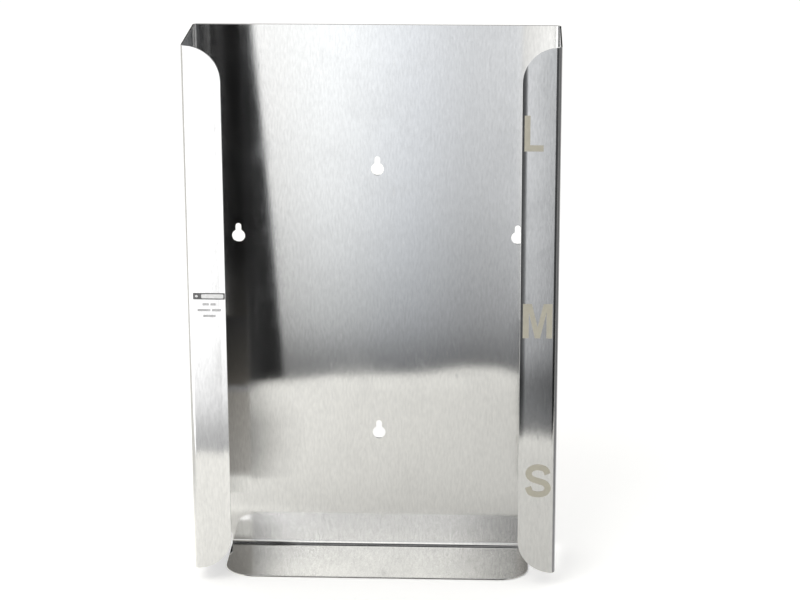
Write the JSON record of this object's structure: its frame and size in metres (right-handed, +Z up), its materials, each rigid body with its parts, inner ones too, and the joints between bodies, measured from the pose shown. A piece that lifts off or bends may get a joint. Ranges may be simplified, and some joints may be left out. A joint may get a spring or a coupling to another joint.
{
  "type": "glove carton dispenser",
  "caption": "Wall dispenser folded from one stainless steel sheet, with an open top and front, a bottom shelf and keyholes in its back.",
  "frame": {"origin": "on the surface that the dispenser stands on, at the centre of its outline in plan", "axes": "+Z up, +Y towards the wall behind the back, +X from the left side wall to the right one as seen from the front"},
  "size_m": [0.25, 0.072, 0.3812],
  "materials": {
    "stainless": "satin, grain upright"
  },
  "bodies": {
    "root": {"folded_sheet": "stainless"}
  },
  "joints": []
}
